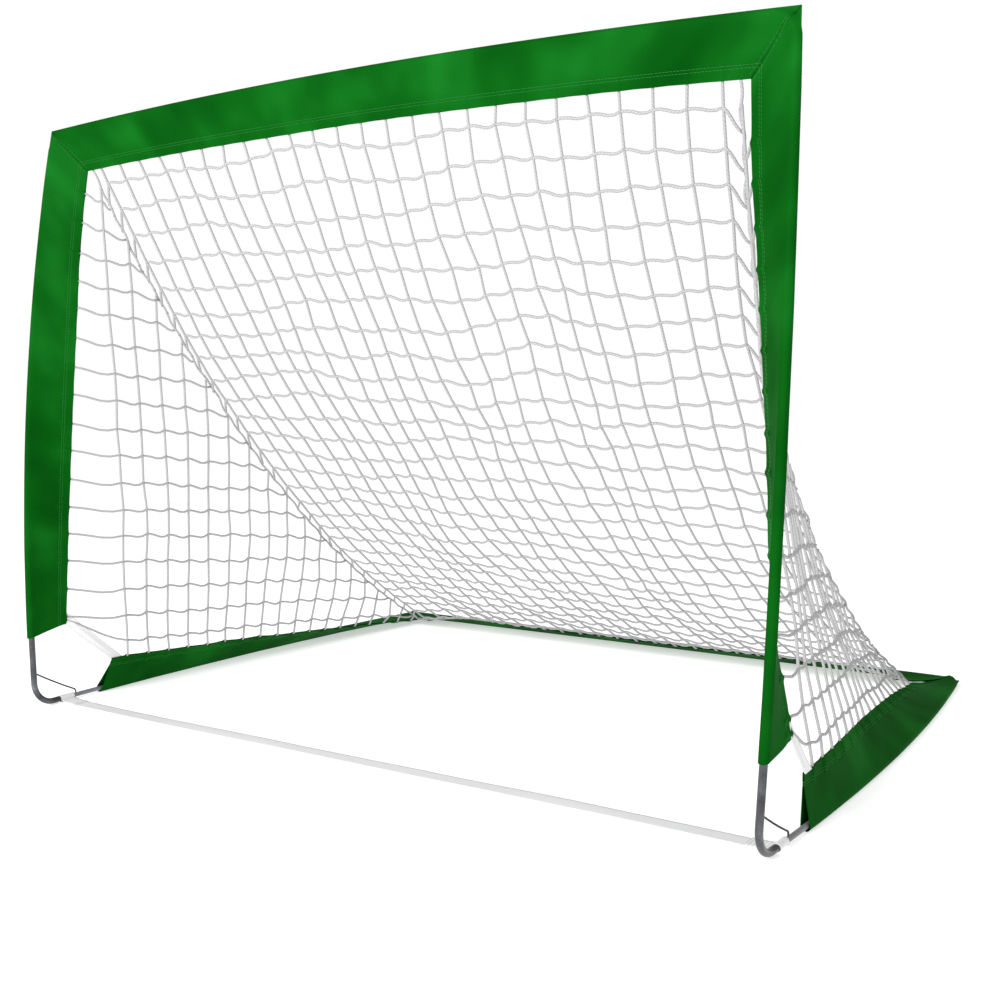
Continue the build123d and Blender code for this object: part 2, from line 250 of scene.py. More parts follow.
def solve(value: Callable[[float], float], low: float, high: float) -> float:
    """The place between low and high where the value changes sign."""
    rising = value(high) > value(low)
    for _ in range(40):
        middle = (low + high) / 2
        if (value(middle) > 0) == rising:
            high = middle
        else:
            low = middle
    return (low + high) / 2


# ---------------------------------------------------------------- finishes


def linear(code: str) -> tuple[float, float, float, float]:
    """The linear colour of an sRGB hex code."""
    channels = [int(code[i : i + 2], 16) / 255 for i in (1, 3, 5)]
    return (*[c / 12.92 if c <= 0.04045 else ((c + 0.055) / 1.055) ** 2.4 for c in channels], 1.0)


def bands(spacing: float) -> float:
    """The Wave node's scale for bands this far apart."""
    return 2 * math.pi / 20 / spacing


def add(tree: bpy.types.NodeTree, kind: str, settings: dict | None = None, **links: object) -> bpy.types.Node:
    """Adds a node.

    Args:
        tree: the material's nodes.
        kind: the node's type.
        settings: its properties by name, and its inputs' values by "input" and number or name.
        links: output sockets to feed its inputs, each named in_ and the input's number.

    Returns:
        The node.
    """
    node = tree.nodes.new(kind)
    for key, value in (settings or {}).items():
        if isinstance(key, int) or key in node.inputs:
            node.inputs[key].default_value = value
        else:
            setattr(node, key, value)
    for key, socket in links.items():
        tree.links.new(socket, node.inputs[int(key[3:])])
    return node


def ramp(tree: bpy.types.NodeTree, factor: bpy.types.NodeSocket, stops: Sequence[tuple[float, str]]) -> bpy.types.Node:
    """Adds a colour ramp of (place, hex code) stops that the factor drives."""
    node = add(tree, "ShaderNodeValToRGB", in_0=factor)
    elements = node.color_ramp.elements
    while len(elements) < len(stops):
        elements.new(0.5)
    for element, (position, code) in zip(elements, stops):
        element.position, element.color = position, linear(code)
    return node


@dataclass(frozen=True)
class Finish:
    """A material: what it is, a slot name that nothing in this script reads, and the numbers on its shader."""

    name: str
    slot: str
    shades: tuple[str, ...]
    roughness: float
    metallic: float = 0.0
    gloss: float = 0.5

    def material(self) -> bpy.types.Material:
        """The material, made once."""
        found = bpy.data.materials.get(self.name)
        if found:
            return found
        made = bpy.data.materials.new(self.name)
        made.use_nodes = True
        tree = made.node_tree
        shader = tree.nodes["Principled BSDF"]
        shader.inputs["Roughness"].default_value = self.roughness
        shader.inputs["Metallic"].default_value = self.metallic
        shader.inputs["Specular IOR Level"].default_value = self.gloss
        colour, normal = self.surface(tree)
        tree.links.new(colour, shader.inputs["Base Color"])
        tree.links.new(normal, shader.inputs["Normal"])
        return made

    def surface(self, tree: bpy.types.NodeTree) -> tuple[bpy.types.NodeSocket, bpy.types.NodeSocket]:
        """Adds the nodes of the surface and returns its colour and normal sockets."""
        raise NotImplementedError

    def dress(self, piece: bpy.types.Object) -> None:
        """Gives the piece this material."""
        piece.data.materials.clear()
        piece.data.materials.append(self.material())


@dataclass(frozen=True)
class CoatedPolyester(Finish):
    """Green coated polyester oxford: a flat, slightly shiny plain weave that shades softly over its creases."""

    thread: float = 1.2 * MM  # real threads are 0.5 mm apart, drawn coarser so that they show

    def surface(self, tree: bpy.types.NodeTree) -> tuple[bpy.types.NodeSocket, bpy.types.NodeSocket]:
        """Warp and weft on the cloth's own UV map, in metres, with dye variation, small creases, and painted shade that
        darkens the colour between the threads.
        """
        cloth = add(tree, "ShaderNodeTexCoord").outputs["UV"]
        warp = add(tree, "ShaderNodeTexWave", {"bands_direction": "X", "Scale": bands(self.thread)}, in_0=cloth)
        weft = add(tree, "ShaderNodeTexWave", {"bands_direction": "Y", "Scale": bands(self.thread)}, in_0=cloth)
        weave = add(
            tree, "ShaderNodeMath", {"operation": "MAXIMUM"}, in_0=warp.outputs["Fac"], in_1=weft.outputs["Fac"]
        )
        crease = add(tree, "ShaderNodeTexNoise", {"Scale": 28.0, "Detail": 3.0, "Distortion": 0.6}, in_0=cloth)
        dye = add(tree, "ShaderNodeTexNoise", {"Scale": 7.0, "Detail": 2.0}, in_0=cloth)
        tint = ramp(
            tree, dye.outputs["Fac"], [(0.3, self.shades[0]), (0.5, self.shades[1]), (0.72, self.shades[2])]
        )
        # painted shade: the colour is made darker where the weave dips between the threads
        shaded = add(
            tree, "ShaderNodeMix", {"data_type": "RGBA", "blend_type": "MULTIPLY", "Factor": 0.22},
            in_6=tint.outputs[0], in_7=ramp(tree, weave.outputs[0], [(0.35, "#8C8C8C"), (0.95, "#FFFFFF")]).outputs[0],
        )
        folds = add(tree, "ShaderNodeBump", {"Strength": 0.35, "Distance": 2.2 * MM}, in_2=crease.outputs["Fac"])
        threads = add(
            tree, "ShaderNodeBump", {"Strength": 0.3, "Distance": 0.15 * MM}, in_2=weave.outputs[0]
        )
        tree.links.new(folds.outputs[0], threads.inputs["Normal"])
        return shaded.outputs[2], threads.outputs[0]


@dataclass(frozen=True)
class BraidedTwine(Finish):
    """Braided cord, white nylon or black elastic: matt, with a fine slanting braid along its run."""

    braid: float = 2.4 * MM  # the twist's length along the twine

    def surface(self, tree: bpy.types.NodeTree) -> tuple[bpy.types.NodeSocket, bpy.types.NodeSocket]:
        """Bands that follow the twine's run attribute, broken up by fibres; the colour is darker in the braid's
        grooves, which is painted shade.
        """
        run = add(tree, "ShaderNodeAttribute", {"attribute_name": "run"}).outputs["Vector"]
        plies = add(
            tree, "ShaderNodeTexWave",
            {"bands_direction": "DIAGONAL", "Scale": bands(self.braid), "Distortion": 0.6, "Detail": 1.0}, in_0=run,
        )
        body = add(tree, "ShaderNodeTexCoord").outputs["Object"]
        fibre = add(tree, "ShaderNodeTexNoise", {"Scale": 900.0, "Detail": 2.0}, in_0=body)
        height = add(
            tree, "ShaderNodeMath", {"operation": "MULTIPLY_ADD", 1: 0.35}, in_0=fibre.outputs["Fac"],
            in_2=plies.outputs["Fac"],
        )
        # painted shade: the low parts of the braid, its grooves, get the darker colour
        tint = ramp(tree, height.outputs[0], [(0.1, self.shades[0]), (0.6, self.shades[1])])
        bump = add(tree, "ShaderNodeBump", {"Strength": 0.2, "Distance": 0.2 * MM}, in_2=height.outputs[0])
        return tint.outputs[0], bump.outputs[0]


@dataclass(frozen=True)
class WovenWebbing(Finish):
    """White polypropylene webbing: cross ribs 1.6 mm apart in a flat, slightly glossy yarn."""

    rib: float = 1.6 * MM

    def surface(self, tree: bpy.types.NodeTree) -> tuple[bpy.types.NodeSocket, bpy.types.NodeSocket]:
        """Ribs across the band and rows of yarn along it, on its UV map in metres; the colour is darker between the
        ribs and rows, which is painted shade.
        """
        cloth = add(tree, "ShaderNodeTexCoord").outputs["UV"]
        ribs = add(tree, "ShaderNodeTexWave", {"bands_direction": "X", "Scale": bands(self.rib)}, in_0=cloth)
        rows = add(tree, "ShaderNodeTexWave", {"bands_direction": "Y", "Scale": bands(3.4 * MM)}, in_0=cloth)
        height = add(
            tree, "ShaderNodeMath", {"operation": "MULTIPLY_ADD", 1: 0.5}, in_0=rows.outputs["Fac"],
            in_2=ribs.outputs["Fac"],
        )
        # painted shade: the low parts between the ribs and rows get the darker colour
        tint = ramp(tree, height.outputs[0], [(0.1, self.shades[0]), (1.0, self.shades[1])])
        bump = add(tree, "ShaderNodeBump", {"Strength": 0.4, "Distance": 0.3 * MM}, in_2=height.outputs[0])
        return tint.outputs[0], bump.outputs[0]


@dataclass(frozen=True)
class DrawnRod(Finish):
    """Metal tube or pultruded fibreglass: smooth, with fine die lines, and scuffs that lighten it."""

    scuff: float = 22 * MM  # how far apart the scuffs are
    streak: tuple[float, float, float] = (1.0, 1.0, 1.0)

    def surface(self, tree: bpy.types.NodeTree) -> tuple[bpy.types.NodeSocket, bpy.types.NodeSocket]:
        """Scuffs and grain on Object coordinates."""
        body = add(tree, "ShaderNodeTexCoord").outputs["Object"]
        drawn = add(tree, "ShaderNodeMapping", {"Scale": self.streak}, in_0=body).outputs[0]
        scuffs = add(tree, "ShaderNodeTexNoise", {"Scale": 1 / self.scuff, "Detail": 4.0, "Roughness": 0.65}, in_0=body)
        grain = add(tree, "ShaderNodeTexNoise", {"Scale": 1200.0, "Detail": 2.0}, in_0=drawn)
        tint = ramp(
            tree, scuffs.outputs["Fac"], [(0.35, self.shades[0]), (0.6, self.shades[1]), (0.8, self.shades[2])]
        )
        bump = add(tree, "ShaderNodeBump", {"Strength": 0.12, "Distance": 0.1 * MM}, in_2=grain.outputs["Fac"])
        return tint.outputs[0], bump.outputs[0]


GREEN_CLOTH = CoatedPolyester(
    "coated_polyester_oxford", "green_cloth", ("#024409", "#07550F", "#136E1E"), roughness=0.55, gloss=0.01
)
SEWING_THREAD = CoatedPolyester(
    "green_polyester_thread", "green_cloth", ("#1C7028", "#257B31", "#2F873B"), roughness=0.6, gloss=0.2,
    thread=0.8 * MM,
)
# painted shade: the white twine is given light grey, darker than white nylon, to stand in for the shade along the
# strands' edges
NET_TWINE = BraidedTwine("braided_nylon_twine", "net_twine", ("#9A9A9D", "#B4B4B4"), roughness=0.7, gloss=0.2)
ELASTIC = BraidedTwine("braided_elastic_cord", "elastic_cord", ("#0C0C0D", "#26262A"), roughness=0.7, braid=1.6 * MM)
WEBBING = WovenWebbing("polypropylene_webbing", "webbing", ("#D5D6D8", "#F6F6F5"), roughness=0.55)
TUBE_STEEL = DrawnRod(
    "gunmetal_plated_steel", "tube_steel", ("#444447", "#5E5F62", "#85868A"), roughness=0.28, metallic=0.85
)
FIBREGLASS = DrawnRod("pultruded_fibreglass", "fibreglass", ("#6C6D70", "#7F8083", "#97989B"), roughness=0.38)


# ---------------------------------------------------------------- making pieces


def new_piece(name: str, mesh: bpy.types.Mesh) -> bpy.types.Object:
    """Puts a mesh in the scene as a piece."""
    piece = bpy.data.objects.new(name, mesh)
    bpy.context.scene.collection.objects.link(piece)
    return piece


def cloth_grid(name: str, columns: int, rows: int, size: tuple[float, float], shape: Callable) -> bpy.types.Object:
    """Makes a sheet from a grid whose points are moved to their places.

    Args:
        name: the piece's name.
        columns: how many cells it has along its length.
        rows: how many cells it has across.
        size: its cut length and width in metres, for the UV map.
        shape: takes the column and row of a point and returns its place, and how far across the cloth it is.

    Returns:
        The piece, with its UV map in metres.
    """
    bm = bmesh.new()
    bmesh.ops.create_grid(bm, x_segments=columns, y_segments=rows, size=0.5)
    across_of, uv = {}, bm.loops.layers.uv.new("cloth")
    for vert in bm.verts:
        column, row = round((vert.co.x + 0.5) * columns), round((vert.co.y + 0.5) * rows)
        vert.co, distance = shape(column, row)
        across_of[vert] = (column / columns * size[0], distance)
    for face in bm.faces:
        for loop in face.loops:
            loop[uv].uv = across_of[loop.vert]
    mesh = bpy.data.meshes.new(name)
    bm.to_mesh(mesh)
    bm.free()
    mesh.shade_smooth()
    return new_piece(name, mesh)


def harden(piece: bpy.types.Object, thickness: float, offset: float = 0.0) -> None:
    """Gives a sheet its thickness, in its mesh."""
    solid = piece.modifiers.new("thickness", "SOLIDIFY")
    solid.thickness, solid.offset, solid.use_even_offset = thickness, offset, False
    freeze(piece)


def freeze(piece: bpy.types.Object) -> None:
    """Applies the piece's modifiers to its mesh."""
    graph = bpy.context.evaluated_depsgraph_get()
    mesh = bpy.data.meshes.new_from_object(piece.evaluated_get(graph), depsgraph=graph)
    piece.modifiers.clear()
    piece.data = mesh


def round_line(name: str, paths: Sequence[Path], radius: float, fine: int = 1) -> bpy.types.Object:
    """Makes round strands along paths as one mesh.

    Args:
        name: the piece's name.
        paths: the points that each strand follows.
        radius: the strands' radius.
        fine: the roundness of the strands, 0 being four-sided.

    Returns:
        The piece, with a vector attribute "run" that grows along each strand and round it, in metres.
    """
    curve = bpy.data.curves.new(name, "CURVE")
    curve.dimensions, curve.bevel_depth, curve.bevel_resolution = "3D", radius, fine
    for path in paths:
        spline = curve.splines.new("POLY")
        spline.points.add(len(path) - 1)
        for point, place_of in zip(spline.points, path):
            point.co = (*place_of, 1)
    holder = bpy.data.objects.new(name + "_line", curve)
    bpy.context.scene.collection.objects.link(holder)
    bpy.context.view_layer.update()
    graph = bpy.context.evaluated_depsgraph_get()
    mesh = bpy.data.meshes.new_from_object(holder.evaluated_get(graph), depsgraph=graph)
    bpy.data.objects.remove(holder)
    mesh.name = name
    ring = len(mesh.vertices) // sum(len(path) for path in paths)
    runs = []
    for path in paths:
        walked = [0.0]
        for before, after in zip(path, path[1:]):
            walked.append(walked[-1] + (after - before).length)
        for length in walked:
            runs += [(length, 2 * math.pi * radius * k / ring, 0.0) for k in range(ring)]
    attribute = mesh.attributes.new("run", "FLOAT_VECTOR", "POINT")
    attribute.data.foreach_set("vector", np.array(runs, np.float32).ravel()[: 3 * len(mesh.vertices)])
    bm = bmesh.new()
    bm.from_mesh(mesh)
    bmesh.ops.holes_fill(bm, edges=[e for e in bm.edges if e.is_boundary], sides=ring)
    bm.to_mesh(mesh)
    bm.free()
    mesh.shade_smooth()
    return new_piece(name, mesh)


def add_knots(piece: bpy.types.Object, places: Sequence[Vector], radius: float) -> None:
    """Adds a small knot to the piece's mesh at each place."""
    seed = bmesh.new()
    bmesh.ops.create_icosphere(seed, subdivisions=1, radius=radius)
    ball = bpy.data.meshes.new("knot")
    seed.to_mesh(ball)
    seed.free()
    count = len(ball.vertices)
    shape = np.empty(3 * count, np.float32)
    ball.vertices.foreach_get("co", shape)
    shape = shape.reshape(-1, 3)
    bm = bmesh.new()
    bm.from_mesh(piece.data)
    for i, centre in enumerate(places):
        bm.from_mesh(ball)
        bm.verts.ensure_lookup_table()
        swell = 1 + 0.15 * math.sin(12.9 * i)
        for vert, corner in zip(bm.verts[-count:], shape):
            vert.co = centre + Vector(corner) * swell
    for face in bm.faces:
        face.smooth = True
    bm.to_mesh(piece.data)
    bm.free()
    bpy.data.meshes.remove(ball)


def fold_weights(piece: bpy.types.Object, fixed: float | None = None) -> None:
    """Lets a piece fold like a fan between the base and the hoop.

    Each point turns by a share of the fold that grows with its angle about the hinge, from the base's hems, which
    stay, to the hoop, which turns by the whole.

    Args:
        piece: the net, band or cord.
        fixed: the angle in degrees where the share is 0, or none for the angle of the base's hem there.
    """
    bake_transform(piece, Body.BASE.value, Body.HOOP.value, (0, 0.2, 0), (0, HINGE_Y, 0.6))
    mesh = piece.data
    places = np.empty(3 * len(mesh.vertices), np.float64)
    mesh.vertices.foreach_get("co", places)
    y, z = places.reshape(-1, 3)[:, 1] - HINGE_Y, places.reshape(-1, 3)[:, 2] - HINGE_Z
    angle = np.degrees(np.arctan2(z, y))
    away = np.maximum(np.hypot(y, z), 1 * MM)
    low = np.degrees(np.arctan2(0.060 - 0.06 * away, away)) if fixed is None else np.full_like(angle, fixed)
    high = 78.0 if fixed is None else 130.0
    share = np.clip((angle - low) / np.maximum(high - low, 1.0), 0, 1)
    mesh.attributes["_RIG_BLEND"].data.foreach_set("value", share.astype(np.float32))


# ---------------------------------------------------------------- sleeves


@dataclass
class SleeveEnd:
    """The plane that cuts a sleeve off: a free end, or the mitre seam of a corner with a bent tube in it."""

    point: Vector
    normal: Vector
    bend: bool = False


@dataclass
class Sleeve:
    """A strip of cloth folded round the rods, with its two layers sewn to the net in a hem.

    The cloth's cross-section is a teardrop: round over the rod and straight to the hem, where two rows of stitches
    hold it. At a mitred corner the tube bends away inside it and leaves an empty, flat ear of cloth.
    """

    node: str
    body: Body
    line: Bow
    flap: Flap
    ends: tuple[SleeveEnd, SleeveEnd]
    strands: list[float]  # where the net's strands lie in the hem, in metres along the line
    seed: float
    crown: float = 6.1 * MM  # half the thickness over the rod
    hem_half: float = 0.9 * MM
    cloth: float = 0.45 * MM
    stitch_rows: tuple[float, float] = (52 * MM, 48.5 * MM)
    stitch: float = 4.6 * MM
    creases: float = 2.6 * MM
    bend_room: float = 3.2 * MM  # extra room over the bent tube in a mitred corner
    ear: float = 1.2 * MM  # half the thickness of the flat ear outside the bend
    tunnel: float = 2.2 * MM  # how far a strand of the net lifts the hem
    tunnel_width: float = 3.6 * MM
    station: float = 3.0 * MM
    cut: float = 166 * MM
    reaches: tuple[float, ...] = (
        64, 63.4, 62, 60, 57.5, 55, 53, 52, 51, 49.5, 48.5, 47.5, 45, 41, 36, 30, 24, 18, 13, 9, 6, 3, 0,
        -2.2, -4, -5.2, -5.9,
    )

    def __post_init__(self) -> None:
        """Finds where each run along the cloth starts and ends."""
        self.spans = {}
        rim = -CASING_R - 0.2 * MM
        half = [r * MM for r in self.reaches]
        self.columns = [(1, r) for r in half] + [(0, rim)] + [(-1, r) for r in reversed(half)]

    def span(self, r: float) -> tuple[float, float]:
        """The shares of the rod where the cloth starts and ends, this far from the rod."""
        if r not in self.spans:
            limits = []
            for end, (low, high) in zip(self.ends, ((-0.12, 0.5), (0.5, 1.12))):
                limits.append(
                    solve(lambda t: (self.middle(t, r) - end.point).dot(end.normal), low, high)
                )
            self.spans[r] = (limits[0], limits[1])
        return self.spans[r]

    def middle(self, t: float, r: float) -> Vector:
        """The point midway between the layers."""
        return hem(self.line, self.flap, t, r)

    def beyond_tube(self, t: float, r: float) -> float:
        """How far a point lies outside the tube's centre line, negative towards the hem."""
        for end, away in zip(self.ends, (t, 1 - t)):
            near = BEND_R - away * self.line.length
            if end.bend and near > 0:
                return math.hypot(near, BEND_R - r) - BEND_R if r < BEND_R else near - r
        return -r

    def half_thickness(self, t: float, r: float, side: int) -> float:
        """Half the distance between the layers."""
        x, outside = t * self.line.length, self.beyond_tube(t, r)
        crown = self.crown * (1 + 0.05 * wander(self.seed + side, x * 14, r * 30))
        crown += self.bend_room * smooth(0, 8 * MM, r + outside)
        if outside <= 0:
            left = max(0.0, 50 * MM - r)
            taper = (left / (left - outside)) ** 1.12 if left > 0 else 0.0
            half = self.hem_half + (crown - self.hem_half) * taper
        elif r < -CASING_R:
            half = 0.0
        else:
            near = max(0.0, 1 - (outside / crown) ** 2)
            ear = 1.0 * MM * math.sqrt((r + CASING_R) / (4 * MM))
            half = max(crown * math.sqrt(near), min(ear, self.ear))
        for row in self.stitch_rows:
            half -= 0.35 * MM * math.exp(-(((r - row) / (1.1 * MM)) ** 2)) * (r > 40 * MM)
        if r > 44 * MM:
            fade = smooth(44 * MM, 49 * MM, r)
            nearest = min((abs(x - s) for s in self.strands), default=1.0)
            half += self.tunnel * fade * math.exp(-((nearest / self.tunnel_width) ** 2))
        return half

    def wave(self, t: float, r: float) -> float:
        """How far creases carry both layers off the flap's plane."""
        x, share = t * self.line.length, max(0.0, r) / FLAP
        slow = wander(self.seed, x * 5.5 + r * 12, r * 9)
        quick = wander(self.seed + 3, x * 17 - r * 22, r * 14)
        pucker = wander(self.seed + 5, x * 95, r * 20) * smooth(38 * MM, 50 * MM, r)
        return self.free(t) * ((slow * 1.5 + quick * 0.85) * self.creases * share**0.7 + pucker * 0.3 * MM)

    def free(self, t: float) -> float:
        """1 away from the mitred ends and 0 at the seams, which hold the cloth."""
        still = 1.0
        for end, away in zip(self.ends, (t, 1 - t)):
            if end.bend:
                still *= smooth(30 * MM, 150 * MM, away * self.line.length)
        return still

    def pull(self, t: float, r: float) -> float:
        """How far the hem is drawn out by the net's strands and by slack in the cloth."""
        x = t * self.line.length
        nearest = min((abs(x - s) for s in self.strands), default=0.0)
        drawn = math.cos(math.pi * min(1.0, nearest / (CELL / 2)))
        return (0.15 * MM * drawn + 1.3 * MM * wander(self.seed + 9, x * 4)) * smooth(34 * MM, FLAP, r) * self.free(t)

    def surface(self, t: float, r: float, side: int, lift: float = 0.0) -> Vector:
        """A point on the cloth: side 1 and -1 are its two layers and 0 is the fold over the rod."""
        tangent = self.line.tangent(t)
        direction = across(self.flap(t), tangent)
        normal = tangent.cross(direction)
        half = side * (self.half_thickness(t, r, side) + lift)
        point = self.line.at(t) + direction * (r + self.pull(t, r)) + normal * (half + self.wave(t, r))
        point.z = max(point.z, 0.5 * MM)
        return point

    def between(self, t: float, r: float) -> Vector:
        """A point between the layers, where a strand of the net lies."""
        return self.surface(t, r, 0)

    def build(self) -> bpy.types.Object:
        low, high = self.span(0.0)
        length = (high - low) * self.line.length
        stations = round(length / self.station)
        distances, previous = [0.0], None
        for side, r in self.columns:
            point = (self.half_thickness(0.5, r, side) * side, r)
            if previous:
                distances.append(distances[-1] + math.dist(previous, point))
            previous = point

        def shape(column: int, row: int) -> tuple[Vector, float]:
            side, r = self.columns[row]
            first, last = self.span(r)
            return self.surface(first + (last - first) * column / stations, r, side), distances[row]

        piece = cloth_grid(self.node + "_cloth", stations, len(self.columns) - 1, (length, self.cut), shape)
        harden(piece, self.cloth)
        GREEN_CLOTH.dress(piece)
        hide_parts(self.node)
        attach(piece, self.body.value)
        threads = self.stitches()
        longest = max((b - a) * self.line.length for a, b in (self.span(r) for r in (0.0, -CASING_R, FLAP)))
        log.info("%s: %d faces", piece.name, len(piece.data.polygons))
        return piece

    def stitches(self) -> bpy.types.Object:
        """Two rows of lockstitch on both faces of the hem, and one beside each mitre seam."""
        paths = []
        for side in (1, -1):
            for row in self.stitch_rows:
                first, last = self.span(row)
                count = round((last - first) * self.line.length / self.stitch) * 4
                paths.append(
                    [
                        self.surface(first + (last - first) * k / count, row, side, (-0.5 if k % 4 == 0 else 0.42) * MM)
                        for k in range(count + 1)
                    ]
                )
            for end, which in zip(self.ends, (0, 1)):
                if end.bend:
                    count = round(56 * MM / self.stitch) * 4
                    seam = []
                    for k in range(count + 1):
                        r = 2 * MM + 58 * MM * k / count
                        inset = self.line.share(5 * MM) * (1 if which == 0 else -1)
                        lift = (-0.5 if k % 4 == 0 else 0.42) * MM
                        seam.append(self.surface(self.span(r)[which] + inset, r, side, lift))
                    paths.append(seam)
        piece = round_line(self.node + "_stitches", paths, 0.38 * MM, 0)
        SEWING_THREAD.dress(piece)
        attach(piece, self.body.value)
        return piece


# ---------------------------------------------------------------- nets


def back_edge(u: float) -> tuple[Vector, Vector, Vector]:
    """Top point, bottom point and sag of the back net at a share of its width, 0 and 1 being the seams."""
    edge_top, edge_rear = CROSSBAR.share(REACH), REAR.share(REACH)
    top = hem(CROSSBAR, crossbar_flap, edge_top + (1 - 2 * edge_top) * u, REACH)
    bottom = hem(REAR, rear_flap, edge_rear + (1 - 2 * edge_rear) * u, REACH)
    chord = bottom - top
    square = Vector((0, chord.z, -chord.y)).normalized()
    depth = SEAM_SAG + (BACK_SAG - SEAM_SAG) * swag(u)
    return top, bottom, square * depth + Vector((SEAM_PULL * (1 - 2 * u), 0, 0))


def back_point(u: float, v: float) -> Vector:
    """A point on the back net, v running from the crossbar to the rear."""
    top, bottom, sag = back_edge(u)
    return top + (bottom - top) * v + sag * swag(v)


def seam_point(sign: int, t: float) -> Vector:
    """A point on the seam of the back net and a side net, from the top down."""
    return back_point(0.0 if sign < 0 else 1.0, t)


@dataclass
class Net:
    """Knotless square mesh of round twine, a little thicker where its strands cross."""

    name: str
    twine: float = 1.9 * MM  # radius
    per_cell: int = 5

    def strand(self, knots: Path, droop: float, skew: float, seed: float) -> Path:
        """A strand through its knots that hangs a little between them.

        Args:
            knots: the knots' places.
            droop: how far it hangs in the middle of a cell.
            skew: how far it steps sideways as it passes a knot.
            seed: sets how its cells differ.

        Returns:
            The points that it follows.
        """
        path = []
        for i, (a, b) in enumerate(zip(knots, knots[1:])):
            hang = droop * (1 + 0.7 * wander(seed, i * 0.9))
            for k in range(self.per_cell):
                t = k / self.per_cell
                lean = Vector((0, 0, -hang * swag(t) + skew * math.sin(2 * math.pi * t)))
                path.append(a.lerp(b, t) + lean)
        return path + [knots[-1]]

    def weave(self, lines: Sequence[Path], knots: Sequence[Vector], node: str | None) -> bpy.types.Object:
        """Makes the twine and knots as one piece that folds with the goal."""
        piece = round_line(self.name, lines, self.twine)
        add_knots(piece, knots, self.twine * 1.25)
        NET_TWINE.dress(piece)
        if node:
            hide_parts(node)
        fold_weights(piece)
        log.info("%s: %d faces", piece.name, len(piece.data.polygons))
        return piece


@dataclass
class BackNet(Net):
    """The net from the crossbar to the rear hem."""

    name: str = "back_net_twine"
    columns: int = 24
    rows: int = 28
    sleeves: dict[str, Sleeve] = field(default_factory=dict)

    def knot(self, i: int, j: int) -> Vector:
        """The place of a knot."""
        u, v = (i + 0.5) / (self.columns + 1), (j + 0.5) / self.rows
        inner = swag(u) ** 0.3 * swag(v) ** 0.3
        du = (wander(1.0, i * 0.33, j * 0.21) * 0.5 + wander(2.0, i * 1.7, j * 1.3) * 0.12) / self.columns
        dv = (wander(3.0, i * 0.27, j * 0.3) * 0.55 + wander(4.0, i * 1.9, j * 1.6) * 0.16) / self.rows
        slack = 7 * MM * wander(5.0, i * 0.4, j * 0.4) * inner
        return back_point(u + du * inner, v + dv * inner) + Vector((0, slack * 0.6, -slack))

    def build(self) -> bpy.types.Object:
        """Makes the net, with its ends running into both hems and to the seams."""
        grid = [[self.knot(i, j) for j in range(self.rows)] for i in range(self.columns + 1)]
        lines = []
        for i, column in enumerate(grid):
            u = (i + 0.5) / (self.columns + 1)
            top, bottom = self.rooted("crossbar_sleeve", u), self.rooted("rear_sleeve", u)
            lines.append(top[:-1] + self.strand([top[-1], *column, bottom[-1]], 0.0, 0.5 * MM, i) + bottom[-2::-1])
        for j in range(self.rows):
            row = [grid[i][j] for i in range(self.columns + 1)]
            v = min(0.995, (j + 0.5 + 0.75) / self.rows)
            lines.append(self.strand([back_point(0, v), *row, back_point(1, v)], 2.2 * MM, 1.7 * MM, 40 + j))
        return self.weave(lines, [p for column in grid for p in column], "back_net")

    def rooted(self, name: str, u: float) -> Path:
        """A strand's run between the layers of a sleeve's hem, from its end outwards."""
        sleeve = self.sleeves[name]
        edge = sleeve.line.share(REACH)
        t = edge + (1 - 2 * edge) * u
        return [sleeve.between(t, r * MM) for r in (47, 53, 59, 65.2)]

    def strands(self, line: Bow) -> list[float]:
        """Where the strands lie along a hem."""
        edge = line.share(REACH)
        shares = [(i + 0.5) / (self.columns + 1) for i in range(self.columns + 1)]
        return [(edge + (1 - 2 * edge) * u) * line.length for u in shares]


